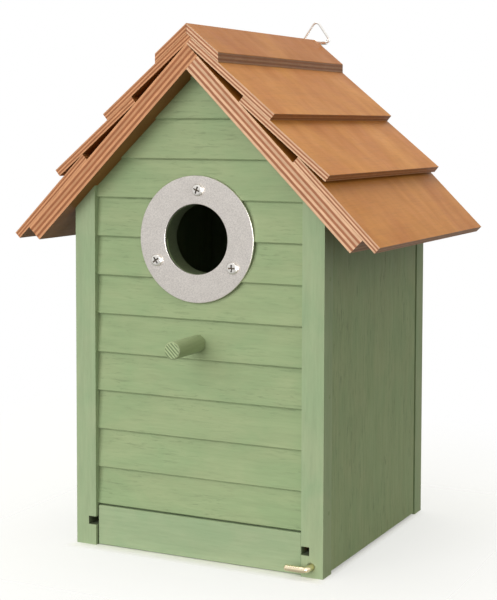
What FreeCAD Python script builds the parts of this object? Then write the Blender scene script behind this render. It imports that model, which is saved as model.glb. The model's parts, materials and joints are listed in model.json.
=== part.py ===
import FreeCAD, Part
import math
import os

# Nest box with a gabled, shingled roof, a steel entrance plate, a pull-out
# floor with a latch hook, and a hanging ring.  Millimetres.
# +Z is up, -Y is the front.  The origin is on the ground, at the middle of
# everything the box reaches to the left, right, front and back.

# ---- driving dimensions: body ----
BODY_WIDTH = 127.2
BODY_DEPTH = 128.4
GABLE_HEIGHT = 223.3        # ground to the roof's underside at the ridge
ROOF_PITCH = 45.0           # degrees
SIDE_THICKNESS = 10.6       # side panels and the stiles in front of them
STILE_DEPTH = 9.3
BACK_THICKNESS = 9.5
SIDE_LIFT = 1.4             # side panels stop short of the ground
SHADOW_WIDTH = 2.4          # groove where a side panel meets the back
SHADOW_DEPTH = 2.5

# ---- driving dimensions: milled front ----
FRONT_THICKNESS = 10.0
FRONT_RECESS = 2.1          # behind the stile faces
COURSE_HEIGHT = 18.24
LAP_RELIEF = 1.6
LAP_ROUND = 0.5

# ---- driving dimensions: pull-out floor ----
RAIL_HEIGHT = 18.9
RAIL_THICKNESS = 8.0
RAIL_RECESS = 1.4
RAIL_SIDE_CLEARANCE = 0.5
RAIL_TOP_CLEARANCE = 0.6
RAIL_LIFT = 0.2
FLOOR_THICKNESS = 3.0
FLOOR_HEIGHT = 10.1         # ground to the floor's underside
FLOOR_PLAY = 0.45           # above and below the floor in its grooves
FLOOR_EDGE_CLEARANCE = 0.4
FLOOR_TONGUE = 4.0          # floor let into the rail
GROOVE_DEPTH = 4.0

# ---- driving dimensions: entrance and perch ----
HOLE_RADIUS = 16.0
HOLE_HEIGHT = 147.0
PLATE_RADIUS = 28.9
PLATE_THICKNESS = 1.25
PLATE_SCREWS = 3
PLATE_SCREW_CIRCLE = 22.4   # radius
PLATE_SCREW_START = 87.0    # degrees
SCREW_SHANK_RADIUS = 1.4
SCREW_SHANK_LENGTH = 8.6
SCREW_HEAD_RADIUS = 2.8
SCREW_HEAD_HEIGHT = 1.7
SCREW_DRIVE_WIDTH = 0.7     # arms of the cross recess
SCREW_DRIVE_DEPTH = 0.9
PERCH_RADIUS = 4.0
PERCH_HEIGHT = 99.4
PERCH_REACH = 23.6          # in front of the milled front
PERCH_SEAT = 8.0
PERCH_CHAMFER = 0.5

# ---- driving dimensions: roof ----
ROOF_FRONT_OVERHANG = 8.2
ROOF_REAR_OVERHANG = 6.4
ROOF_BOARD_THICKNESS = 8.0
EAVE_OVERHANG = 15.0        # on plan, from the body to the boards' lower corner
SHINGLE_THICKNESS = 3.5
SHINGLE_COURSES = 3
SHINGLE_LAP = 16.4          # each course over the next
SHINGLE_DRIP = 7.6          # lowest course past the boards' lower edge
RIDGE_BOARD_REACH = 16.0    # each side of the ridge, on plan

# ---- driving dimensions: latch hook ----
HOOK_WIRE_RADIUS = 1.4
HOOK_INSET = 5.8            # from the stile's outer face
HOOK_HEIGHT = 4.8
HOOK_STANDOFF = 5.2         # stile face to the arm's centre
HOOK_ARM = 10.4             # shank axis to the arm's tip
HOOK_BEND = 3.0
HOOK_DEPTH = 8.0            # thread in the stile
HOOK_CLEARANCE = 0.05

# ---- driving dimensions: hanger ----
LOOP_WIDTH = 12.0            # the strap's rolled top
STRAP_WIDTH = 7.0            # the strap below it
STRAP_METAL = 0.8
STRAP_TAIL = 9.12           # roof boards' apex to the strap's lower end
STRAP_SCREW_DROP = 4.62     # roof boards' apex to the screw
RING_WIRE_RADIUS = 0.6
RING_CLEARANCE = 0.05
RING_AXIS_DROP = 1.2        # below the top of the ridge
RING_HALF_WIDTH = 8.4
RING_RISE = 11.8            # base wire to apex, centre to centre
RING_CORNERS = (1.1, 1.1, 2.2)  # bends at the base, then at the apex

# ---- driving dimensions: nails ----
NAIL_RADIUS = 0.8
NAIL_HEAD_RADIUS = 1.7
NAIL_HEAD_HEIGHT = 0.7
NAIL_LENGTH = 25.0
BRAD_RADIUS = 0.6
BRAD_HEAD_RADIUS = 1.0
BRAD_HEAD_HEIGHT = 0.5
SHINGLE_BRAD_LENGTH = 9.0
SHINGLE_BRAD_INSET = 6.0    # from a shingle's upper end
ROOF_NAIL_START = 34.0      # from the ridge, along the slope
FRONT_BRAD_LENGTH = 22.0
NAILS_PER_EDGE = 3
NAIL_MARGIN = 28.0          # from the ground and from the eaves
ROOF_NAIL_MARGIN = 22.0     # from the body's outer faces, along the slope

# ---- worked-out sizes and places ----
FAR = 3 * (BODY_WIDTH + BODY_DEPTH + GABLE_HEIGHT)
PITCH = math.radians(ROOF_PITCH)
HALF_WIDTH = BODY_WIDTH / 2
INNER_HALF = HALF_WIDTH - SIDE_THICKNESS
EAVE_HEIGHT = GABLE_HEIGHT - HALF_WIDTH * math.tan(PITCH)
LOOP_INNER_RADIUS = RING_WIRE_RADIUS + RING_CLEARANCE
LOOP_OUTER_RADIUS = LOOP_INNER_RADIUS + STRAP_METAL
STRAP_THICKNESS = 2 * STRAP_METAL
HANGER_OUT = max(2 * LOOP_OUTER_RADIUS, STRAP_THICKNESS + SCREW_HEAD_HEIGHT)

REAR_REACH = ROOF_REAR_OVERHANG + HANGER_OUT
FRONT_REACH = PERCH_REACH - FRONT_RECESS
STILE_FACE_Y = (FRONT_REACH - REAR_REACH - BODY_DEPTH) / 2
REAR_Y = STILE_FACE_Y + BODY_DEPTH
FRONT_Y = STILE_FACE_Y + FRONT_RECESS
FRONT_BACK_Y = FRONT_Y + FRONT_THICKNESS
SIDE_FRONT_Y = STILE_FACE_Y + STILE_DEPTH
BACK_Y = REAR_Y - BACK_THICKNESS
RAIL_Y = STILE_FACE_Y + RAIL_RECESS
RAIL_BACK_Y = RAIL_Y + RAIL_THICKNESS
ROOF_FRONT_Y = STILE_FACE_Y - ROOF_FRONT_OVERHANG
ROOF_REAR_Y = REAR_Y + ROOF_REAR_OVERHANG
ROOF_LENGTH = ROOF_REAR_Y - ROOF_FRONT_Y

GROOVE_LOW = FLOOR_HEIGHT - FLOOR_PLAY
GROOVE_HIGH = FLOOR_HEIGHT + FLOOR_THICKNESS + FLOOR_PLAY
FRONT_LOW = RAIL_HEIGHT + RAIL_TOP_CLEARANCE

# Shingles lie on the roof boards' top, each tilted by the one it laps over.
ROOF_BOARD_SLOPE = (HALF_WIDTH + EAVE_OVERHANG) / math.cos(PITCH)
ROOF_TOP_SLOPE = ROOF_BOARD_SLOPE + ROOF_BOARD_THICKNESS * math.tan(PITCH)
SHINGLE_EXPOSURE = (ROOF_TOP_SLOPE + SHINGLE_DRIP - SHINGLE_LAP) / SHINGLE_COURSES
SHINGLE_LENGTH = SHINGLE_EXPOSURE + SHINGLE_LAP
SHINGLE_TILT = math.asin(SHINGLE_THICKNESS / SHINGLE_EXPOSURE)
SHINGLE_PITCH = PITCH - SHINGLE_TILT
BOARD_APEX = GABLE_HEIGHT + ROOF_BOARD_THICKNESS / math.cos(PITCH)
SHINGLE_APEX = BOARD_APEX + SHINGLE_THICKNESS / math.cos(SHINGLE_PITCH)
RIDGE_TOP = SHINGLE_APEX + SHINGLE_THICKNESS / math.cos(SHINGLE_PITCH)

RING_AXIS_Z = RIDGE_TOP - RING_AXIS_DROP
RING_AXIS_Y = ROOF_REAR_Y + LOOP_OUTER_RADIUS
HOOK_X = HALF_WIDTH - HOOK_INSET

SIDES = {"left": -1, "right": 1}


def vec(x, y, z):
    return FreeCAD.Vector(x, y, z)


def box(low, high):
    size = [b - a for a, b in zip(low, high)]
    return Part.makeBox(size[0], size[1], size[2], vec(*low))


def rod(radius, start, direction, length):
    return Part.makeCylinder(radius, length, vec(*start), vec(*direction))


def prism_along_y(outline, y_low, y_high):
    """Solid between two Y planes, from (x, z) points."""
    points = [vec(x, y_low, z) for x, z in outline]
    face = Part.Face(Part.makePolygon(points + points[:1]))
    return face.extrude(vec(0, y_high - y_low, 0))


def prism_along_x(outline, x_low, x_high):
    """Solid between two X planes, from (y, z) points."""
    points = [vec(x_low, y, z) for y, z in outline]
    face = Part.Face(Part.makePolygon(points + points[:1]))
    return face.extrude(vec(x_high - x_low, 0, 0))


def mirrored(side, low, high):
    """A box given for the right side, or its mirror image on the left."""
    solid = box(low, high)
    if side > 0:
        return solid
    return solid.mirror(vec(0, 0, 0), vec(1, 0, 0))


def edges_along(solid, axis, test):
    """Straight edges parallel to an axis whose middle passes a test."""
    found = []
    for edge in solid.Edges:
        if len(edge.Vertexes) != 2:
            continue
        way = edge.Vertexes[1].Point - edge.Vertexes[0].Point
        if way.normalize().cross(axis).Length < 0.001 and test(edge.CenterOfMass):
            found.append(edge)
    return found


# ---- roof slopes ----
# A slope frame starts at an apex on x = 0 and runs down one side: u is the
# distance down the slope and v is the height above it.
def on_slope(side, apex, pitch, u, v):
    x = u * math.cos(pitch) + v * math.sin(pitch)
    z = apex - u * math.sin(pitch) + v * math.cos(pitch)
    return (side * x, z)


def slope_slab(side, apex, pitch, u_low, u_high, v_low, v_high):
    corners = ((u_low, v_low), (u_high, v_low), (u_high, v_high), (u_low, v_high))
    outline = [on_slope(side, apex, pitch, u, v) for u, v in corners]
    return prism_along_y(outline, ROOF_FRONT_Y, ROOF_REAR_Y)


def lapped_at_ridge(side, apex, pitch, length, thickness):
    """A board up to the ridge, where the left one laps over the right one."""
    board = slope_slab(side, apex, pitch, -2 * thickness, length, 0, thickness)
    clear_of = 0 if side > 0 else thickness
    return board.cut(slope_slab(-side, apex, pitch, -FAR, FAR, clear_of, FAR))


def roof_board(side):
    return lapped_at_ridge(side, GABLE_HEIGHT, PITCH, ROOF_BOARD_SLOPE, ROOF_BOARD_THICKNESS)


def shingle_frame(course):
    """Start down the boards' top, and tilt, of a course counted from the ridge."""
    start = course * SHINGLE_EXPOSURE
    tilt = 0 if course == SHINGLE_COURSES - 1 else SHINGLE_TILT
    return start, PITCH - tilt


def shingle(side, course):
    start, pitch = shingle_frame(course)
    if course == 0:
        return lapped_at_ridge(side, BOARD_APEX, pitch, SHINGLE_LENGTH, SHINGLE_THICKNESS)
    x, z = on_slope(1, BOARD_APEX, PITCH, start, 0)
    apex = z + x * math.tan(pitch)
    offset = x / math.cos(pitch)
    return slope_slab(side, apex, pitch, offset, offset + SHINGLE_LENGTH, 0, SHINGLE_THICKNESS)


def ridge_board(side):
    board = slope_slab(side, SHINGLE_APEX, SHINGLE_PITCH, -FAR, FAR, 0, SHINGLE_THICKNESS)
    keep = mirrored(side, (0, ROOF_FRONT_Y, 0), (RIDGE_BOARD_REACH, ROOF_REAR_Y, FAR))
    return board.common(keep)


# ---- nails, brads and screws ----
def headed_pin(start, direction, length, radius, head_radius, head_height):
    """A nail with its head's top at start."""
    shank = rod(radius, start, direction, length)
    head = rod(head_radius, start, direction, head_height)
    return shank.fuse(head).removeSplitter()


def roof_nails(side):
    """Down through a roof board into the front and the back."""
    down = on_slope(side, 0, PITCH, 0, -1)
    for y in ((FRONT_Y + LAP_RELIEF + FRONT_BACK_Y) / 2, BACK_Y + BACK_THICKNESS / 2):
        for slope in (ROOF_NAIL_START, HALF_WIDTH / math.cos(PITCH) - ROOF_NAIL_MARGIN):
            x, z = on_slope(side, BOARD_APEX, PITCH, slope, 0)
            yield headed_pin((x, y, z), (down[0], 0, down[1]), NAIL_LENGTH,
                             NAIL_RADIUS, NAIL_HEAD_RADIUS, NAIL_HEAD_HEIGHT)


def shingle_brads(side, course):
    """Through a shingle's upper end, which the next course hides."""
    start, pitch = shingle_frame(course)
    down = on_slope(side, 0, pitch, 0, -1)
    x, z = on_slope(side, BOARD_APEX, PITCH, start, 0)
    along = on_slope(side, 0, pitch, SHINGLE_BRAD_INSET, SHINGLE_THICKNESS)
    for place in (-0.35, 0, 0.35):
        y = (ROOF_FRONT_Y + ROOF_REAR_Y) / 2 + place * ROOF_LENGTH
        yield headed_pin((x + along[0], y, z + along[1]), (down[0], 0, down[1]),
                         SHINGLE_BRAD_LENGTH, BRAD_RADIUS, BRAD_HEAD_RADIUS, BRAD_HEAD_HEIGHT)


def nail_heights():
    """Evenly spaced up an upright edge."""
    step = (EAVE_HEIGHT - 2 * NAIL_MARGIN) / (NAILS_PER_EDGE - 1)
    return [NAIL_MARGIN + index * step for index in range(NAILS_PER_EDGE)]


def back_nails():
    """Through the back into the rear ends of the side panels."""
    for side in SIDES.values():
        for height in nail_heights():
            start = (side * (INNER_HALF + SIDE_THICKNESS / 2), REAR_Y, height)
            yield headed_pin(start, (0, -1, 0), NAIL_LENGTH,
                             NAIL_RADIUS, NAIL_HEAD_RADIUS, NAIL_HEAD_HEIGHT)


def front_brads():
    """Through the stiles into the edges of the milled front."""
    y = (FRONT_Y + LAP_RELIEF + SIDE_FRONT_Y) / 2
    for side in SIDES.values():
        for height in nail_heights():
            yield headed_pin((side * HALF_WIDTH, y, height), (-side, 0, 0), FRONT_BRAD_LENGTH,
                             BRAD_RADIUS, BRAD_HEAD_RADIUS, BRAD_HEAD_HEIGHT)


def pan_screw(seat, turn):
    """Pan-head screw whose head stands in front of seat, facing -Y."""
    round_edge = SCREW_HEAD_HEIGHT * 0.6
    head = rod(SCREW_HEAD_RADIUS, (0, 0, 0), (0, -1, 0), SCREW_HEAD_HEIGHT)
    front_rim = [e for e in head.Edges if abs(e.CenterOfMass.y + SCREW_HEAD_HEIGHT) < 0.01]
    head = head.makeFillet(round_edge, front_rim)
    shank = rod(SCREW_SHANK_RADIUS, (0, 0, 0), (0, 1, 0), SCREW_SHANK_LENGTH)
    tip_height = 2 * SCREW_SHANK_RADIUS
    tip = Part.makeCone(SCREW_SHANK_RADIUS, 0.2, tip_height,
                        vec(0, SCREW_SHANK_LENGTH - tip_height, 0), vec(0, 1, 0))
    shank = shank.cut(box((-FAR, SCREW_SHANK_LENGTH - tip_height, -FAR), (FAR, FAR, FAR))).fuse(tip)
    screw = head.fuse(shank).removeSplitter()
    arm = SCREW_HEAD_RADIUS * 0.6
    half = SCREW_DRIVE_WIDTH / 2
    front = -SCREW_HEAD_HEIGHT
    bottom = front + SCREW_DRIVE_DEPTH
    screw = screw.cut(box((-arm, front - 1, -half), (arm, bottom, half)))
    screw = screw.cut(box((-half, front - 1, -arm), (half, bottom, arm)))
    screw.rotate(vec(0, 0, 0), vec(0, 1, 0), turn)
    screw.translate(vec(*seat))
    return screw


def screw_hole(seat, length):
    return rod(SCREW_SHANK_RADIUS, seat, (0, 1, 0), length)


def plate_screw_seats():
    for index in range(PLATE_SCREWS):
        angle = math.radians(PLATE_SCREW_START + 360 * index / PLATE_SCREWS)
        x = PLATE_SCREW_CIRCLE * math.cos(angle)
        z = HOLE_HEIGHT + PLATE_SCREW_CIRCLE * math.sin(angle)
        yield (x, FRONT_Y - PLATE_THICKNESS, z)


# ---- body ----
def gable(y_low, y_high):
    """Everything under the roof boards, between two Y planes."""
    outline = [(-HALF_WIDTH, 0), (HALF_WIDTH, 0), (HALF_WIDTH, EAVE_HEIGHT)]
    outline += [(0, GABLE_HEIGHT), (-HALF_WIDTH, EAVE_HEIGHT)]
    return prism_along_y(outline, y_low, y_high)


def floor_groove(side):
    return mirrored(side, (INNER_HALF - 1, -FAR, GROOVE_LOW), (INNER_HALF + GROOVE_DEPTH, FAR, GROOVE_HIGH))


def front_panel():
    """Milled to look like lapped boards: each course is proud at its foot."""
    outline = [(FRONT_BACK_Y, GABLE_HEIGHT), (FRONT_BACK_Y, FRONT_LOW)]
    courses = math.ceil((GABLE_HEIGHT - RAIL_HEIGHT) / COURSE_HEIGHT)
    for course in range(courses):
        low = max(RAIL_HEIGHT + course * COURSE_HEIGHT, FRONT_LOW)
        high = RAIL_HEIGHT + (course + 1) * COURSE_HEIGHT
        outline.append((FRONT_Y + LAP_ROUND, low))
        outline.append((FRONT_Y, low + LAP_ROUND))
        outline.append((FRONT_Y + LAP_RELIEF, high))
    outline.append((FRONT_BACK_Y, outline[-1][1]))
    panel = prism_along_x(outline[1:], -INNER_HALF, INNER_HALF)
    panel = panel.common(gable(STILE_FACE_Y, FRONT_BACK_Y))
    panel = panel.cut(rod(HOLE_RADIUS, (0, -FAR, HOLE_HEIGHT), (0, 1, 0), 2 * FAR))
    panel = panel.cut(rod(PERCH_RADIUS, (0, -FAR, PERCH_HEIGHT), (0, 1, 0), FAR + FRONT_Y + PERCH_SEAT))
    for seat in plate_screw_seats():
        panel = panel.cut(screw_hole(seat, SCREW_SHANK_LENGTH))
    return panel


def stile(side):
    post = gable(STILE_FACE_Y, SIDE_FRONT_Y)
    post = post.common(mirrored(side, (INNER_HALF, -FAR, 0), (FAR, FAR, FAR)))
    post = post.cut(floor_groove(side))
    if side > 0:
        hole = HOOK_WIRE_RADIUS + HOOK_CLEARANCE
        post = post.cut(rod(hole, (HOOK_X, STILE_FACE_Y, HOOK_HEIGHT), (0, 1, 0), HOOK_DEPTH + 0.3))
        mouth = Part.makeCone(hole + 0.8, hole, 0.8, vec(HOOK_X, STILE_FACE_Y, HOOK_HEIGHT), vec(0, 1, 0))
        post = post.cut(mouth)
    return post


def side_panel(side):
    panel = gable(SIDE_FRONT_Y, BACK_Y)
    panel = panel.common(mirrored(side, (INNER_HALF, -FAR, SIDE_LIFT), (FAR, FAR, FAR)))
    panel = panel.cut(floor_groove(side))
    shadow = mirrored(side, (HALF_WIDTH - SHADOW_DEPTH, BACK_Y - SHADOW_WIDTH, 0), (FAR, BACK_Y, FAR))
    return panel.cut(shadow)


def back_panel():
    return gable(BACK_Y, REAR_Y)


# ---- entrance and perch ----
def entrance_plate():
    centre = (0, FRONT_Y, HOLE_HEIGHT)
    plate = rod(PLATE_RADIUS, centre, (0, -1, 0), PLATE_THICKNESS)
    plate = plate.cut(rod(HOLE_RADIUS, centre, (0, -1, 0), PLATE_THICKNESS))
    for seat in plate_screw_seats():
        plate = plate.cut(screw_hole(seat, PLATE_THICKNESS))
    return plate


def plate_screws():
    for index, seat in enumerate(plate_screw_seats()):
        yield pan_screw(seat, 20 + 35 * index)


def perch():
    dowel = rod(PERCH_RADIUS, (0, FRONT_Y - PERCH_REACH, PERCH_HEIGHT), (0, 1, 0), PERCH_REACH + PERCH_SEAT)
    rims = [e for e in dowel.Edges if e.CenterOfMass.y < FRONT_Y - PERCH_REACH + 0.01]
    return dowel.makeChamfer(PERCH_CHAMFER, rims)


# ---- pull-out floor ----
def floor_panel():
    """Slides in the side grooves; its narrower tongue is glued in the rail."""
    half = INNER_HALF + GROOVE_DEPTH - FLOOR_EDGE_CLEARANCE
    top = FLOOR_HEIGHT + FLOOR_THICKNESS
    sheet = box((-half, RAIL_BACK_Y, FLOOR_HEIGHT), (half, BACK_Y - FLOOR_EDGE_CLEARANCE, top))
    rail_half = INNER_HALF - RAIL_SIDE_CLEARANCE
    tongue = box((-rail_half, RAIL_BACK_Y - FLOOR_TONGUE, FLOOR_HEIGHT), (rail_half, RAIL_BACK_Y, top))
    return sheet.fuse(tongue).removeSplitter()


def bottom_rail():
    half = INNER_HALF - RAIL_SIDE_CLEARANCE
    rail = box((-half, RAIL_Y, RAIL_LIFT), (half, RAIL_BACK_Y, RAIL_HEIGHT))
    return rail.cut(floor_panel())


# ---- latch hook ----
def latch_hook():
    """A square-bent wire hook: its arm reaches over the rail's end."""
    end = STILE_FACE_Y + HOOK_DEPTH
    arm_y = STILE_FACE_Y - HOOK_STANDOFF
    start = vec(HOOK_X, end, HOOK_HEIGHT)
    bend_start = vec(HOOK_X, arm_y + HOOK_BEND, HOOK_HEIGHT)
    middle = HOOK_BEND * (1 - math.sqrt(0.5))
    bend_middle = vec(HOOK_X - middle, arm_y + middle, HOOK_HEIGHT)
    bend_end = vec(HOOK_X - HOOK_BEND, arm_y, HOOK_HEIGHT)
    nose_length = HOOK_WIRE_RADIUS * 0.5
    tip = vec(HOOK_X - HOOK_ARM + nose_length, arm_y, HOOK_HEIGHT)
    path = Part.Wire([Part.LineSegment(start, bend_start).toShape(),
                      Part.Arc(bend_start, bend_middle, bend_end).toShape(),
                      Part.LineSegment(bend_end, tip).toShape()])
    ring = Part.Wire(Part.makeCircle(HOOK_WIRE_RADIUS, start, vec(0, -1, 0)))
    wire = path.makePipeShell([ring], True, True)
    nose = Part.makeCone(HOOK_WIRE_RADIUS, HOOK_WIRE_RADIUS * 0.55, nose_length, tip, vec(-1, 0, 0))
    return wire.fuse(nose).removeSplitter()


# ---- hanger ----
def hanger_strap():
    """Doubled strip folded round the ring's base wire."""
    x = STRAP_WIDTH / 2
    rear = ROOF_REAR_Y + STRAP_THICKNESS
    plate = box((-x, ROOF_REAR_Y, BOARD_APEX - STRAP_TAIL), (x, rear, RING_AXIS_Z))
    corners = edges_along(plate, vec(0, 1, 0), lambda p: p.z < BOARD_APEX - STRAP_TAIL + 0.01)
    plate = plate.makeFillet(2.0, corners)
    axis_start = (-LOOP_WIDTH / 2, RING_AXIS_Y, RING_AXIS_Z)
    strap = plate.fuse(rod(LOOP_OUTER_RADIUS, axis_start, (1, 0, 0), LOOP_WIDTH))
    strap = strap.cut(rod(LOOP_INNER_RADIUS, axis_start, (1, 0, 0), LOOP_WIDTH))
    return strap.cut(screw_hole((0, ROOF_REAR_Y - 1, BOARD_APEX - STRAP_SCREW_DROP), 5)).removeSplitter()


def hanger_screw():
    screw = pan_screw((0, 0, 0), 30)
    screw.rotate(vec(0, 0, 0), vec(0, 0, 1), 180)
    screw.translate(vec(0, ROOF_REAR_Y + STRAP_THICKNESS, BOARD_APEX - STRAP_SCREW_DROP))
    return screw


def hanger_ring():
    """Triangle of wire, closed inside the strap's loop."""
    y = RING_AXIS_Y
    corners = [vec(-RING_HALF_WIDTH, y, RING_AXIS_Z), vec(RING_HALF_WIDTH, y, RING_AXIS_Z),
               vec(0, y, RING_AXIS_Z + RING_RISE)]
    rounded = []
    for index, (corner, bend) in enumerate(zip(corners, RING_CORNERS)):
        before = (corners[index - 1] - corner).normalize()
        after = (corners[(index + 1) % 3] - corner).normalize()
        half_angle = before.getAngle(after) / 2
        bisector = (before + after).normalize()
        centre = corner + bisector * (bend / math.sin(half_angle))
        reach = bend / math.tan(half_angle)
        rounded.append((corner + before * reach, centre - bisector * bend, corner + after * reach))
    base_middle = vec(0, y, RING_AXIS_Z)
    edges = [Part.LineSegment(base_middle, rounded[1][0]).toShape()]
    for here, there in ((1, 2), (2, 0), (0, None)):
        edges.append(Part.Arc(*rounded[here]).toShape())
        target = base_middle if there is None else rounded[there][0]
        edges.append(Part.LineSegment(rounded[here][2], target).toShape())
    section = Part.Wire(Part.makeCircle(RING_WIRE_RADIUS, base_middle, vec(1, 0, 0)))
    return Part.Wire(edges).makePipeShell([section], True, True)


# ---- assembly ----
def build():
    """Every piece by name; what a nail passes through is cut to fit it."""
    parts = {"front_panel": front_panel(), "back_panel": back_panel()}
    for name, side in SIDES.items():
        parts[name + "_stile"] = stile(side)
        parts[name + "_side_panel"] = side_panel(side)
        parts[name + "_roof_board"] = roof_board(side)
        for course, level in enumerate(("upper", "middle", "lower")):
            parts[name + "_" + level + "_shingle"] = shingle(side, course)
        parts[name + "_ridge_board"] = ridge_board(side)

    groups = {"roof_board_nails": [], "shingle_brads": []}
    for side in SIDES.values():
        groups["roof_board_nails"] += list(roof_nails(side))
        for course in range(SHINGLE_COURSES):
            groups["shingle_brads"] += list(shingle_brads(side, course))
    groups["back_panel_nails"] = list(back_nails())
    groups["front_panel_brads"] = list(front_brads())
    groups["hanger_screw"] = [hanger_screw()]
    for pins in groups.values():
        for pin in pins:
            for name, solid in parts.items():
                if solid.BoundBox.intersect(pin.BoundBox) and solid.common(pin).Volume > 0:
                    parts[name] = solid.cut(pin)
    for name, pins in groups.items():
        parts[name] = Part.makeCompound(pins)

    parts["entrance_plate"] = entrance_plate()
    parts["entrance_plate_screws"] = Part.makeCompound(list(plate_screws()))
    parts["perch_dowel"] = perch()
    parts["floor_panel"] = floor_panel()
    parts["bottom_rail"] = bottom_rail()
    parts["latch_hook"] = latch_hook()
    parts["hanger_strap"] = hanger_strap()
    parts["hanger_ring"] = hanger_ring()
    return parts


def main():
    os.makedirs("parts", exist_ok=True)
    whole = FreeCAD.BoundBox()
    for name, shape in build().items():
        whole.add(shape.BoundBox)
        shape.exportStep("parts/" + name + ".step")
        print(name, len(shape.Solids), shape.isValid(), round(shape.Volume, 1))
    print("overall", whole)


main()
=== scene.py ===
import json
import math
import random

import bmesh
import bpy
from mathutils import Matrix, Vector

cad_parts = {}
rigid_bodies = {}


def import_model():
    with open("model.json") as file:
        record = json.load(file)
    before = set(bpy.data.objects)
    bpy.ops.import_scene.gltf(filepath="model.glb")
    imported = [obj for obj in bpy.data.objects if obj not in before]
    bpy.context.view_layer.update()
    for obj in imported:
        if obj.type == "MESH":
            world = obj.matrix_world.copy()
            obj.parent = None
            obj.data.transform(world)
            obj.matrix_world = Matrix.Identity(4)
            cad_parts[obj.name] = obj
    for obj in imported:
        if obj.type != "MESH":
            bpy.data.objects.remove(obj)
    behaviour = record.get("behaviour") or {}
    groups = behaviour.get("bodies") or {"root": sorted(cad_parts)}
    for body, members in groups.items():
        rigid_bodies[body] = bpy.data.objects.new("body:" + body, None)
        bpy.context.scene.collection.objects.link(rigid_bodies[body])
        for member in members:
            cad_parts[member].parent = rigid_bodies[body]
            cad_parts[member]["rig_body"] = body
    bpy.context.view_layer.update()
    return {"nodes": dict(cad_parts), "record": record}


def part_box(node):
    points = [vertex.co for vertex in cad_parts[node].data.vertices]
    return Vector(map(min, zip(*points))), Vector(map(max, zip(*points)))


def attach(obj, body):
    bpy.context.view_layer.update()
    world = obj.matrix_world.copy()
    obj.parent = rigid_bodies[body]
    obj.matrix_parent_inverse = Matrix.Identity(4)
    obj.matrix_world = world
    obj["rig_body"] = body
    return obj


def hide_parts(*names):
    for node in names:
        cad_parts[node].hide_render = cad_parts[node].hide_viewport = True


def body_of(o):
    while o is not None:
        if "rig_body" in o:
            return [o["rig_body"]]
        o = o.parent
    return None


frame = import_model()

# Nest box: every board, plate and wire of the CAD frame is rebuilt as a mesh
# with eased edges and a procedural finish.  Metres, in the frame's own axes.

MM = 0.001
RIGHT = Vector((1, 0, 0))
BACK = Vector((0, 1, 0))
UP = Vector((0, 0, 1))
SIDES = {"left": -1, "right": 1}

SAW_MARK_SPACING = 1.8 * MM    # slanting marks on the perch's end, measured level or upright
RECESS_DEPTH = 0.9 * MM        # the cross in a screw's head
LAP_DEPTH = 2.6 * MM           # from a lap's proud edge to its deepest

# Plies across each sheet.
ROOF_PLIES = 7
SHINGLE_PLIES = 5
FLOOR_PLIES = 3

# The roof boards and the lowest course lie at 45 degrees; the lapped ones are flatter.
ROOF_PITCH = math.radians(45)
LAPPED_PITCH = math.radians(39.57)
SHINGLE_PITCH = {"upper": LAPPED_PITCH, "middle": LAPPED_PITCH, "lower": ROOF_PITCH, "ridge": LAPPED_PITCH}


# ---------------------------------------------------------------- node help
class Nodes:
    """Short spelling for a node tree."""

    def __init__(self, tree):
        self.tree = tree

    def add(self, kind, **values):
        node = self.tree.nodes.new(kind)
        for key, value in values.items():
            setattr(node, key, value)
        return node

    def feed(self, socket, value):
        if isinstance(value, bpy.types.NodeSocket):
            self.tree.links.new(value, socket)
        else:
            socket.default_value = value

    def attribute(self, name, output="Vector"):
        return self.add("ShaderNodeAttribute", attribute_name=name).outputs[output]

    def noise(self, vector, scale, stretch=(1, 1, 1), detail=4.0, rough=0.55, distort=0.0):
        mapping = self.add("ShaderNodeMapping")
        self.feed(mapping.inputs["Vector"], vector)
        mapping.inputs["Scale"].default_value = stretch
        noise = self.add("ShaderNodeTexNoise")
        self.feed(noise.inputs["Vector"], mapping.outputs["Vector"])
        noise.inputs["Scale"].default_value = scale
        noise.inputs["Detail"].default_value = detail
        noise.inputs["Roughness"].default_value = rough
        noise.inputs["Distortion"].default_value = distort
        return noise.outputs["Fac"]

    def ramp(self, value, stops):
        node = self.add("ShaderNodeValToRGB")
        elements = node.color_ramp.elements
        while len(elements) < len(stops):
            elements.new(0.5)
        for element, (place, colour) in zip(elements, stops):
            element.position = place
            element.color = (*colour, 1)
        self.feed(node.inputs["Fac"], value)
        return node.outputs["Color"]

    def math(self, kind, a, b=0.0, clamp=False):
        node = self.add("ShaderNodeMath", operation=kind, use_clamp=clamp)
        self.feed(node.inputs[0], a)
        self.feed(node.inputs[1], b)
        return node.outputs[0]

    def mix(self, kind, factor, a, b):
        node = self.add("ShaderNodeMix", data_type="RGBA", blend_type=kind)
        self.feed(node.inputs["Factor"], factor)
        self.feed(node.inputs[6], a)
        self.feed(node.inputs[7], b)
        return node.outputs[2]

    def bump(self, height, distance):
        node = self.add("ShaderNodeBump")
        node.inputs["Distance"].default_value = distance
        self.feed(node.inputs["Height"], height)
        return node.outputs["Normal"]


class Finish(Nodes):
    """A new material's node tree."""

    def __init__(self, name):
        self.material = bpy.data.materials.new(name)
        self.material.use_nodes = True
        super().__init__(self.material.node_tree)
        self.shader = self.tree.nodes["Principled BSDF"]

    def set(self, **values):
        for key, value in values.items():
            self.feed(self.shader.inputs[key.replace("_", " ")], value)
        return self.material


def grey(level):
    return (level, level, level)


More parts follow.
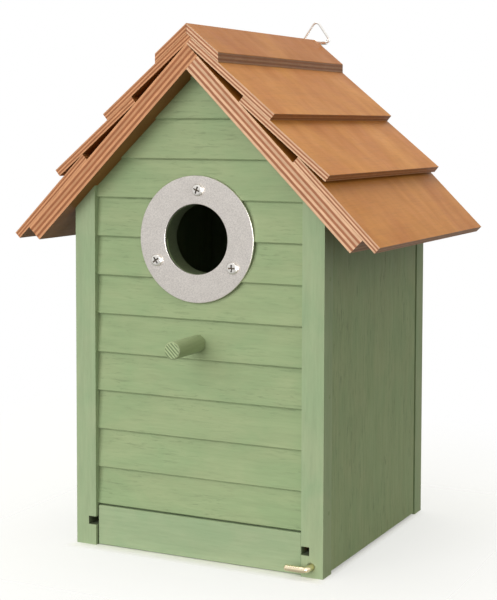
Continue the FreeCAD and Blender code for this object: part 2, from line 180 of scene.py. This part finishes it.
# ---------------------------------------------------------------- materials
def painted_wood(name, colours, scratches, figure=0.40):
    """Satin paint brushed over softwood.

    "board" runs along the grain, across it, and into the wood, in metres.
    "deep" is 1 in the sawn hollow under each lap, where more dark ticks are
    drawn, and "sunk" is 1 inside a hole or groove, where the paint is
    darkened as painted shade.
    """
    n = Finish(name)
    board = n.attribute("board")
    deep = n.attribute("deep", "Fac")
    mottle = n.noise(board, 70, (0.55, 1, 1), detail=3, distort=0.5)
    streaks = n.noise(board, 210, (0.10, 1, 1), detail=5, rough=0.65, distort=0.4)
    fibres = n.noise(board, 1000, (0.07, 1, 1), detail=4, rough=0.7)
    ticks = n.noise(board, 950, (0.13, 1, 1), detail=3, rough=0.6, distort=0.6)
    patches = n.noise(board, 75, (0.5, 1, 1), detail=2)

    where = n.ramp(patches, [(0.40, grey(0.15)), (0.62, grey(1))])
    # more dark ticks towards the top of each course, in under the next lap
    where = n.math("ADD", where, n.ramp(deep, [(0.45, grey(0)), (0.9, grey(0.8))]), clamp=True)
    tick = n.ramp(ticks, [(0.32, grey(1)), (0.46, grey(0))])
    tick = n.math("MULTIPLY", n.math("MULTIPLY", tick, where), scratches)

    cool, warm = colours
    tint = n.ramp(mottle, [(0.33, cool), (0.66, warm)])
    tint = n.mix("MULTIPLY", figure, tint, n.ramp(streaks, [(0.3, grey(0.80)), (0.62, grey(1))]))
    tint = n.mix("MULTIPLY", 0.30, tint, n.ramp(fibres, [(0.3, grey(0.76)), (0.6, grey(1))]))
    tint = n.mix("MIX", tick, tint, (*(c * 0.45 for c in cool), 1))
    # painted shade: the paint is darker inside the entrance bore and the floor's groove
    tint = n.mix("MULTIPLY", n.attribute("sunk", "Fac"), tint, (*grey(0.40), 1))

    rough = n.ramp(fibres, [(0.3, grey(0.62)), (0.7, grey(0.50))])
    height = n.math("ADD", n.math("MULTIPLY", streaks, 0.5), n.math("MULTIPLY", fibres, 0.3))
    height = n.math("SUBTRACT", height, n.math("MULTIPLY", tick, 0.8))
    normal = n.bump(height, 0.16 * MM)
    return n.set(Base_Color=tint, Roughness=rough, Normal=normal, Specular_IOR_Level=0.18)


def painted_dowel(name, colours):
    """As painted wood, with the saw's marks across the sawn end, where "end" is 1; the marks are bumps,
    and their stripes of colour are painted shade and painted highlight.
    """
    n = Finish(name)
    board = n.attribute("board")
    end = n.attribute("end", "Fac")
    fibres = n.noise(board, 900, (0.08, 1, 1), detail=4, rough=0.7)
    slant = n.add("ShaderNodeVectorMath", operation="DOT_PRODUCT")
    n.feed(slant.inputs[0], board)
    slant.inputs[1].default_value = (0, 1, 1)
    phase = n.math("MULTIPLY", slant.outputs["Value"], 2 * math.pi / SAW_MARK_SPACING)
    phase = n.math("ADD", phase, n.math("MULTIPLY", n.noise(board, 500, detail=2), 3.0))
    mark = n.math("MULTIPLY", n.math("ADD", n.math("SINE", phase), 1.0), 0.5)
    # painted shade in the saw marks' grooves and painted highlight on their ridges
    shadow = tuple(c * 0.62 for c in colours[0])
    painted_lit_ridge = tuple(c * 1.22 for c in colours[1])
    sawn = n.ramp(mark, [(0.25, shadow), (0.75, painted_lit_ridge)])
    tint = n.mix("MULTIPLY", 0.45, (*colours[1], 1), n.ramp(fibres, [(0.3, grey(0.70)), (0.6, grey(1))]))
    tint = n.mix("MIX", end, tint, sawn)
    height = n.math("ADD", n.math("MULTIPLY", fibres, 0.3), n.math("MULTIPLY", mark, end))
    return n.set(Base_Color=tint, Roughness=0.55, Normal=n.bump(height, 0.2 * MM), Specular_IOR_Level=0.2)


def plywood(name, plies, face, light, dark, gloss=0.42):
    """Varnished plywood.

    "board" runs down the slope, along the ridge, and up out of the sheet, in
    metres.  "ply" is the height in the thickness from 0 to 1, "edge" is 1
    where a face cuts through the plies, "butt" is 1 on the long cuts, which
    are darkened as painted shade, and "under" is 1 on the underside, which
    is darkened as painted shade.
    """
    n = Finish(name)
    board = n.attribute("board")
    edge = n.attribute("edge", "Fac")
    ply = n.attribute("ply", "Fac")
    butt = n.attribute("butt", "Fac")

    cloud = n.noise(board, 34, (0.55, 1.0, 1), detail=3, distort=0.8)
    cloud_small = n.noise(board, 110, (0.6, 1.0, 1), detail=4)
    streak = n.noise(board, 170, (1.0, 0.05, 1), detail=5, rough=0.65)
    pores = n.noise(board, 1400, (1.0, 0.06, 1), detail=3, rough=0.7)
    shade = tuple(c * k for c, k in zip(face, (0.90, 0.80, 0.68)))
    bright = tuple(c * k for c, k in zip(face, (1.10, 1.18, 1.30)))
    top = n.ramp(cloud, [(0.32, shade), (0.50, face), (0.68, bright)])
    top = n.mix("MULTIPLY", 0.45, top, n.ramp(cloud_small, [(0.3, grey(0.80)), (0.65, grey(1.0))]))
    top = n.mix("MULTIPLY", 0.40, top, n.ramp(streak, [(0.3, grey(0.80)), (0.65, grey(1.0))]))
    top = n.mix("MULTIPLY", 0.30, top, n.ramp(pores, [(0.32, grey(0.70)), (0.52, grey(1.0))]))

    waver = n.noise(board, 60, (0.35, 0.35, 0.35), detail=2)
    waver = n.math("MULTIPLY", n.math("SUBTRACT", waver, 0.5), 0.5)
    layer = n.math("ADD", n.math("SUBTRACT", n.math("MULTIPLY", ply, float(plies)), 0.5), waver)
    phase = n.math("PINGPONG", n.math("ADD", layer, 2.0), 1.0)
    flecks = n.noise(board, 1100, (0.16, 0.16, 1), detail=3, rough=0.7)
    glue = n.ramp(phase, [(0.34, grey(0)), (0.66, grey(1))])
    whole = n.math("FLOOR", n.math("ADD", layer, 0.5))
    each = n.add("ShaderNodeTexWhiteNoise", noise_dimensions="1D")
    n.feed(each.inputs["W"], whole)
    varied = n.ramp(each.outputs["Value"], [(0.0, grey(0.80)), (1.0, grey(1.0))])
    side = n.mix("MIX", glue, (*light, 1), (*dark, 1))
    # painted shade: the long cuts are a dark brown in place of the plies
    side = n.mix("MIX", n.math("MULTIPLY", butt, 0.75), side, (*(c * 0.58 for c in face), 1))
    side = n.mix("MULTIPLY", 0.8, side, varied)
    side = n.mix("MULTIPLY", 0.55, side, n.ramp(flecks, [(0.32, grey(0.66)), (0.62, grey(1.0))]))

    # painted shade: the underside is darkened and cooled
    top = n.mix("MULTIPLY", n.attribute("under", "Fac"), top, (0.42, 0.46, 0.55, 1))
    colour = n.mix("MIX", edge, top, side)
    top_height = n.math("ADD", n.math("MULTIPLY", streak, 0.5), n.math("MULTIPLY", pores, 0.35))
    side_height = n.math("SUBTRACT", n.math("MULTIPLY", flecks, 0.7), n.math("MULTIPLY", glue, 0.6))
    height = n.mix("MIX", edge, top_height, side_height)
    normal = n.bump(height, 0.10 * MM)
    rough = n.ramp(cloud_small, [(0.3, grey(gloss + 0.08)), (0.7, grey(gloss))])
    return n.set(Base_Color=colour, Roughness=rough, Normal=normal, Specular_IOR_Level=0.20)


def worn_metal(name, colour, rough, speckle, scratch=0.0):
    """Plated or brushed metal; "hollow" is 1 inside a screw's recess, which is darkened as painted shade.
    """
    n = Finish(name)
    where = n.add("ShaderNodeTexCoord").outputs["Object"]
    fine = n.noise(where, 1500, detail=5, rough=0.8)
    blotch = n.noise(where, 160, detail=4)
    lines = n.noise(where, 700, (1, 1, 0.05), detail=4, rough=0.7)
    tone = n.mix("MULTIPLY", speckle, (*colour, 1), n.ramp(fine, [(0.35, grey(0.55)), (0.62, grey(1))]))
    tone = n.mix("MULTIPLY", 0.35, tone, n.ramp(blotch, [(0.3, grey(0.80)), (0.7, grey(1))]))
    # painted shade: the recess of a screw's cross is dark
    tone = n.mix("MULTIPLY", n.attribute("hollow", "Fac"), tone, (0.20, 0.17, 0.14, 1))
    gloss = n.ramp(n.math("ADD", n.math("MULTIPLY", fine, 0.5), n.math("MULTIPLY", blotch, 0.5)),
                   [(0.3, grey(rough * 1.25)), (0.7, grey(rough * 0.8))])
    height = n.math("ADD", fine, n.math("MULTIPLY", lines, scratch))
    normal = n.bump(height, 0.02 * MM)
    return n.set(Base_Color=tone, Roughness=gloss, Normal=normal, Metallic=1.0)


def painted_nail(name, colour):
    """Heads that were brushed over with the wood."""
    n = Finish(name)
    where = n.add("ShaderNodeTexCoord").outputs["Object"]
    film = n.noise(where, 900, detail=3)
    tint = n.ramp(film, [(0.3, tuple(c * 0.80 for c in colour)), (0.7, colour)])
    return n.set(Base_Color=tint, Roughness=0.55, Normal=n.bump(film, 0.05 * MM), Specular_IOR_Level=0.2)


GREENS = ((0.290, 0.385, 0.218), (0.332, 0.405, 0.236))
SMOOTH_GREENS = ((0.303, 0.402, 0.250), (0.347, 0.423, 0.270))
SIDING_PAINT = painted_wood("siding_paint", GREENS, scratches=0.34)
SIDE_PAINT = painted_wood("side_paint", GREENS, scratches=0.60, figure=0.60)
SMOOTH_PAINT = painted_wood("smooth_paint", SMOOTH_GREENS, scratches=0.10)
PERCH_PAINT = painted_dowel("perch_paint", GREENS)

PLY_FACE = (0.595, 0.227, 0.038)
RIDGE_FACE = (0.50, 0.180, 0.030)
END_COLOURS = {
    "left": ((0.67, 0.33, 0.180), (0.37, 0.140, 0.066)),
    "right": ((0.81, 0.51, 0.345), (0.42, 0.17, 0.095)),
}


def sheets(name, plies, face):
    """One plywood for each side of the roof; the sides' end grain differs."""
    return {side: plywood(name + "_" + side, plies, face, *END_COLOURS[side]) for side in SIDES}


ROOF_PLY = sheets("roof_plywood", ROOF_PLIES, PLY_FACE)
SHINGLE_PLY = sheets("shingle_plywood", SHINGLE_PLIES, PLY_FACE)
RIDGE_PLY = sheets("ridge_plywood", SHINGLE_PLIES, RIDGE_FACE)
FLOOR_FACE = (0.60, 0.42, 0.25)
FLOOR_END_COLOURS = ((0.66, 0.48, 0.30), (0.42, 0.27, 0.15))
FLOOR_PLY = plywood("floor_plywood", FLOOR_PLIES, FLOOR_FACE, *FLOOR_END_COLOURS, gloss=0.7)

PLATE_STEEL = worn_metal("plate_steel", (0.88, 0.825, 0.77), rough=0.38, speckle=0.6, scratch=0.3)
NICKEL = worn_metal("nickel_plate", (0.92, 0.89, 0.84), rough=0.30, speckle=0.20)
BRASS = worn_metal("brass_plate", (1.0, 0.86, 0.60), rough=0.15, speckle=0.2)
NAIL_STEEL = worn_metal("nail_steel", (0.46, 0.45, 0.43), rough=0.45, speckle=0.5)
PAINTED_NAIL = painted_nail("painted_nail", GREENS[0])


# ---------------------------------------------------------------- meshes
WELD = 0.001 * MM
SAME_FACE = math.radians(0.5)       # faces this near to one plane are one face
WOOD_CORNER = math.radians(25)      # edges sharper than this are eased on wood
METAL_CORNER = math.radians(40)     # and on metal
SMOOTH_BELOW = math.radians(35)     # edges flatter than this are shaded smooth
FACES_UP = 0.75                     # a sheet's broad faces have this much of their normal across it
RUNS_BACK = 0.5                     # a face that runs back has less of its normal than this along Y

# Along the grain, across it, and into the board.
GRAINS = {
    "x": (RIGHT, UP, BACK),
    "y": (BACK, RIGHT, UP),
    "z": (UP, RIGHT, BACK),
    "z_side": (UP, BACK, RIGHT),
}


def cad_bmesh(node):
    """The CAD node's surface with its triangles merged back into flat faces."""
    mesh = bmesh.new()
    mesh.from_mesh(frame["nodes"][node].data)
    bmesh.ops.remove_doubles(mesh, verts=mesh.verts, dist=WELD)
    bmesh.ops.dissolve_limit(mesh, angle_limit=SAME_FACE, verts=mesh.verts, edges=mesh.edges)
    return mesh


def ease_edges(mesh, width, corner=WOOD_CORNER):
    """A small round of this width on each edge that is sharper than the corner."""
    sharp = [e for e in mesh.edges if len(e.link_faces) == 2 and e.calc_face_angle(0) > corner]
    bmesh.ops.bevel(mesh, geom=sharp, offset=width, offset_type="OFFSET", segments=2,
                    profile=0.5, affect="EDGES", clamp_overlap=True)


def finish_piece(name, node, mesh, material):
    """One object that takes the CAD node's place on its body."""
    data = bpy.data.meshes.new(name)
    bmesh.ops.triangulate(mesh, faces=[f for f in mesh.faces if len(f.verts) > 4])
    mesh.to_mesh(data)
    mesh.free()
    data.materials.append(material)
    piece = bpy.data.objects.new(name, data)
    bpy.context.scene.collection.objects.link(piece)
    data.polygons.foreach_set("use_smooth", [True] * len(data.polygons))
    data.set_sharp_from_angle(angle=SMOOTH_BELOW)
    shading = piece.modifiers.new("weighted_normals", "WEIGHTED_NORMAL")
    shading.keep_sharp = True
    shading.weight = 100
    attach(piece, body_of(frame["nodes"][node])[0])
    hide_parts(node)
    return piece


def stamp_board(data, axes, seed):
    """Each vertex's place along the axes, shifted by an amount that the seed picks."""
    shift = Vector([random.Random(seed * 7 + k).uniform(-3, 3) for k in range(3)])
    attribute = data.attributes.new("board", "FLOAT_VECTOR", "POINT")
    for vertex, item in zip(data.vertices, attribute.data):
        item.vector = Vector([vertex.co.dot(axis) for axis in axes]) + shift


def stamp_faces(data, name, test):
    """1 on the faces that pass the test, and 0 on the rest."""
    attribute = data.attributes.new(name, "FLOAT", "FACE")
    for face, item in zip(data.polygons, attribute.data):
        item.value = 1.0 if test(face) else 0.0


def runs_back(face):
    """True for a face that runs from front to back."""
    return abs(face.normal.y) < RUNS_BACK


def stamp_plies(data, up, low, thickness):
    """Height in the sheet on each vertex, and which faces cut the plies."""
    ply = data.attributes.new("ply", "FLOAT", "POINT")
    for vertex, item in zip(data.vertices, ply.data):
        item.value = (vertex.co.dot(up) - low) / thickness
    stamp_faces(data, "edge", lambda face: abs(face.normal.dot(up)) < FACES_UP)
    # the long cuts, which get painted shade
    stamp_faces(data, "butt", runs_back)
    # the underside, which gets painted shade
    stamp_faces(data, "under", lambda face: face.normal.dot(up) < -FACES_UP)


def painted_board(node, grain, seed, ease=0.5 * MM, paint=SMOOTH_PAINT):
    """A painted piece whose grain runs as GRAINS says."""
    mesh = cad_bmesh(node)
    ease_edges(mesh, ease)
    piece = finish_piece(node + "_wood", node, mesh, paint)
    stamp_board(piece.data, GRAINS[grain], seed)
    return piece


def ply_board(node, material, side, pitch, seed, ease=0.25 * MM):
    """A sheet on a roof slope; its grain runs along the ridge, which is Y."""
    up = Vector((side * math.sin(pitch), 0, math.cos(pitch)))
    down = Vector((side * math.cos(pitch), 0, -math.sin(pitch)))
    mesh = cad_bmesh(node)
    heights = [v.co.dot(up) for v in mesh.verts]
    ease_edges(mesh, ease)
    piece = finish_piece(node + "_ply", node, mesh, material)
    stamp_board(piece.data, (down, BACK, up), seed)
    stamp_plies(piece.data, up, min(heights), max(heights) - min(heights))
    return piece


def metal_piece(node, material, ease=0.12 * MM):
    mesh = cad_bmesh(node)
    ease_edges(mesh, ease, METAL_CORNER)
    return finish_piece(node + "_metal", node, mesh, material)


def screws(node, outward):
    """Screws whose cross recess, sunk behind the head's crown, is stamped for painted shade."""
    piece = metal_piece(node, NICKEL, ease=0.06 * MM)
    crown = max(vertex.co.dot(outward) for vertex in piece.data.vertices)

    def in_recess(face):
        sunk = crown - face.center.dot(outward)
        facing = face.normal.dot(outward)
        wall = 0.1 * RECESS_DEPTH < sunk < 0.85 * RECESS_DEPTH and abs(facing) < 0.2
        bottom = 0.9 * RECESS_DEPTH < sunk < 1.1 * RECESS_DEPTH and facing > 0.9
        return wall or bottom

    # the recess faces, which get painted shade
    stamp_faces(piece.data, "hollow", in_recess)


# ---------------------------------------------------------------- the box
def stamp_laps(data, proud):
    """0 at each lap's proud lower edge, rising to 1 where it runs in under the next."""
    deep = data.attributes.new("deep", "FLOAT", "POINT")
    for vertex, item in zip(data.vertices, deep.data):
        item.value = min(1.0, (vertex.co.y - proud) / LAP_DEPTH)


def inside_bore(mount):
    """A test for the faces inside a bore that the record names."""
    bore = next(m for m in frame["record"]["mounts"] if m["name"] == mount)
    middle = Vector(bore["pos_m"])
    radius = bore["dims"]["r_mm"] * MM * 1.05

    def inside(face):
        reach = math.hypot(face.center.x - middle.x, face.center.z - middle.z)
        return reach < radius and runs_back(face)

    return inside


def inside_groove(face):
    """True for the walls of the groove that the floor slides in."""
    low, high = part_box("floor_panel")
    return low.z - MM < face.center.z < high.z + MM and runs_back(face)


def body():
    front = painted_board("front_panel", "x", 1, 0.35 * MM, SIDING_PAINT)
    stamp_laps(front.data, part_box("front_panel")[0].y)
    # painted shade inside the entrance bore
    stamp_faces(front.data, "sunk", inside_bore("entrance"))
    painted_board("back_panel", "z", 2)
    painted_board("bottom_rail", "x", 3)
    for seed, name in enumerate(SIDES):
        stile = painted_board(name + "_stile", "z", 10 + seed, 0.4 * MM)
        panel = painted_board(name + "_side_panel", "z_side", 20 + seed, 0.5 * MM, SIDE_PAINT)
        # painted shade on the walls of the floor's groove
        stamp_faces(stile.data, "sunk", inside_groove)
        stamp_faces(panel.data, "sunk", inside_groove)
    perch = painted_board("perch_dowel", "y", 5, 0.3 * MM, PERCH_PAINT)
    stamp_faces(perch.data, "end", lambda face: face.normal.y < -0.9)


def floor():
    mesh = cad_bmesh("floor_panel")
    low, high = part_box("floor_panel")
    ease_edges(mesh, 0.2 * MM)
    piece = finish_piece("floor_panel_ply", "floor_panel", mesh, FLOOR_PLY)
    stamp_board(piece.data, GRAINS["y"], 40)
    stamp_plies(piece.data, UP, low.z, high.z - low.z)


def roof():
    for number, (name, side) in enumerate(SIDES.items()):
        ply_board(name + "_roof_board", ROOF_PLY[name], side, ROOF_PITCH, 50 + number)
        for level, pitch in SHINGLE_PITCH.items():
            ridge = level == "ridge"
            node = name + "_ridge_board" if ridge else name + "_" + level + "_shingle"
            sheet = RIDGE_PLY[name] if ridge else SHINGLE_PLY[name]
            ply_board(node, sheet, side, pitch, 60 + 10 * number + len(level))


def metalwork():
    metal_piece("entrance_plate", PLATE_STEEL, ease=0.45 * MM)
    screws("entrance_plate_screws", -BACK)
    screws("hanger_screw", BACK)
    metal_piece("hanger_strap", NICKEL, ease=0.1 * MM)
    metal_piece("hanger_ring", NICKEL)
    metal_piece("latch_hook", BRASS, ease=0.1 * MM)
    for node in ("back_panel_nails", "front_panel_brads"):
        metal_piece(node, PAINTED_NAIL, ease=0.05 * MM)
    for node in ("roof_board_nails", "shingle_brads"):
        metal_piece(node, NAIL_STEEL, ease=0.05 * MM)


# ---------------------------------------------------------------- studio
WHITE = (1, 1, 1, 1)
SHEET_SIZE = 1.4
# How solid the floor's sheet is, by how far out it is along X or Y, whichever is more.
SHEET_FADE = [(0.058, grey(1)), (0.066, grey(0.32)), (0.10, grey(0.30)), (0.30, grey(0))]

FILL_TINT = (1.0, 0.97, 0.72, 1)
FILL_ABOVE = 0.62
FILL_BELOW = 0.17
REFLECTED_ABOVE = 1.0
REFLECTED_BELOW = 0.30
LIT_POINT = (0, 0, 0.12)


def pale_floor():
    """A pale sheet that thins out to nothing round the box, into the white."""
    n = Finish("studio_floor")
    where = n.add("ShaderNodeTexCoord").outputs["Object"]
    tone = n.ramp(n.noise(where, 3, detail=2), [(0.3, grey(0.88)), (0.7, grey(0.92))])
    n.set(Base_Color=tone, Roughness=0.9, Specular_IOR_Level=0.1)
    parts = n.add("ShaderNodeSeparateXYZ")
    n.feed(parts.inputs[0], where)
    across = n.math("ABSOLUTE", parts.outputs["X"])
    along = n.math("ABSOLUTE", parts.outputs["Y"])
    n.set(Alpha=n.ramp(n.math("MAXIMUM", across, along), SHEET_FADE))
    bpy.ops.mesh.primitive_plane_add(size=SHEET_SIZE, location=(0, 0, 0))
    plane = bpy.context.object
    plane.name = "studio_floor"
    plane.data.materials.append(n.material)


def soft_light(name, power, size, place, lights=True, mirrored=True):
    """An area light; it can light without showing in metal, or the reverse."""
    light = bpy.data.lights.new(name, "AREA")
    light.shape = "RECTANGLE"
    light.size, light.size_y = size
    light.energy = power
    lamp = bpy.data.objects.new(name, light)
    bpy.context.scene.collection.objects.link(lamp)
    lamp.visible_diffuse = lights
    lamp.visible_glossy = mirrored
    lamp.location = place
    lamp.rotation_euler = (Vector(LIT_POINT) - Vector(place)).to_track_quat("-Z", "Y").to_euler()


def studio_world():
    """White to look at, paler above than below in reflections, and a dim warm fill as a light."""
    world = bpy.data.worlds.new("studio")
    bpy.context.scene.world = world
    world.use_nodes = True
    n = Nodes(world.node_tree)
    height = n.add("ShaderNodeSeparateXYZ")
    n.feed(height.inputs["Vector"], n.add("ShaderNodeTexCoord").outputs["Generated"])

    def rising(low, high, below, above):
        """One level below a height and another above it, blended between."""
        node = n.add("ShaderNodeMapRange")
        n.feed(node.inputs["Value"], height.outputs["Z"])
        node.inputs["From Min"].default_value = low
        node.inputs["From Max"].default_value = high
        node.inputs["To Min"].default_value = below
        node.inputs["To Max"].default_value = above
        return node.outputs["Result"]

    fill = n.mix("MULTIPLY", 1, rising(-0.4, 0.4, FILL_BELOW, FILL_ABOVE), FILL_TINT)
    mirrored = rising(-0.7, 0.2, REFLECTED_BELOW, REFLECTED_ABOVE)
    path = n.add("ShaderNodeLightPath")
    looked_at = path.outputs["Is Camera Ray"]
    seen = n.math("MAXIMUM", looked_at, path.outputs["Is Glossy Ray"])
    backdrop = n.mix("MIX", looked_at, mirrored, WHITE)
    sky = n.mix("MIX", seen, fill, backdrop)
    n.feed(world.node_tree.nodes["Background"].inputs["Color"], sky)


# The reference view, from the middle of the box on the ground.
CAMERA_PLACE = Vector((0.30651, -0.63488, 0.19899))
CAMERA_YAW = math.radians(26.489)
CAMERA_DIP = math.radians(3.560)
CAMERA_ROLL = math.radians(0.114)
SENSOR_WIDTH = 36
FOCAL_LENGTH = 86.41
LENS_SHIFT = (0.0162, -0.1437)


def camera():
    """A long lens with its film shifted, so that upright edges stay nearly upright."""
    stile_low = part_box("left_stile")[0]
    back_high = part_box("back_panel")[1]
    middle = Vector((0, (stile_low.y + back_high.y) / 2, 0))
    data = bpy.data.cameras.new("camera")
    data.sensor_width = SENSOR_WIDTH
    data.lens = FOCAL_LENGTH
    data.shift_x, data.shift_y = LENS_SHIFT
    data.dof.use_dof = False
    data.clip_start, data.clip_end = 0.01, 100
    lens = bpy.data.objects.new("camera", data)
    bpy.context.scene.collection.objects.link(lens)
    level = Vector((-math.sin(CAMERA_YAW), math.cos(CAMERA_YAW), 0))
    ahead = level * math.cos(CAMERA_DIP) - UP * math.sin(CAMERA_DIP)
    right = Vector((math.cos(CAMERA_YAW), math.sin(CAMERA_YAW), 0))
    up = right.cross(ahead)
    turned = right * math.cos(CAMERA_ROLL) + up * math.sin(CAMERA_ROLL)
    up = up * math.cos(CAMERA_ROLL) - right * math.sin(CAMERA_ROLL)
    axes = Matrix((turned, up, -ahead)).transposed()
    lens.matrix_world = Matrix.Translation(middle + CAMERA_PLACE) @ axes.to_4x4()
    bpy.context.scene.camera = lens


def studio():
    pale_floor()
    studio_world()
    soft_light("key", 49, (2.0, 2.0), (-0.6, -2.3, 0.75), mirrored=False)
    soft_light("top", 16.5, (1.2, 1.2), (-0.25, 0.15, 1.9))
    soft_light("rim", 34, (0.35, 1.2), (1.35, -0.75, 0.25), lights=False)
    bpy.context.scene.view_settings.view_transform = "Standard"
    camera()


body()
floor()
roof()
metalwork()
studio()
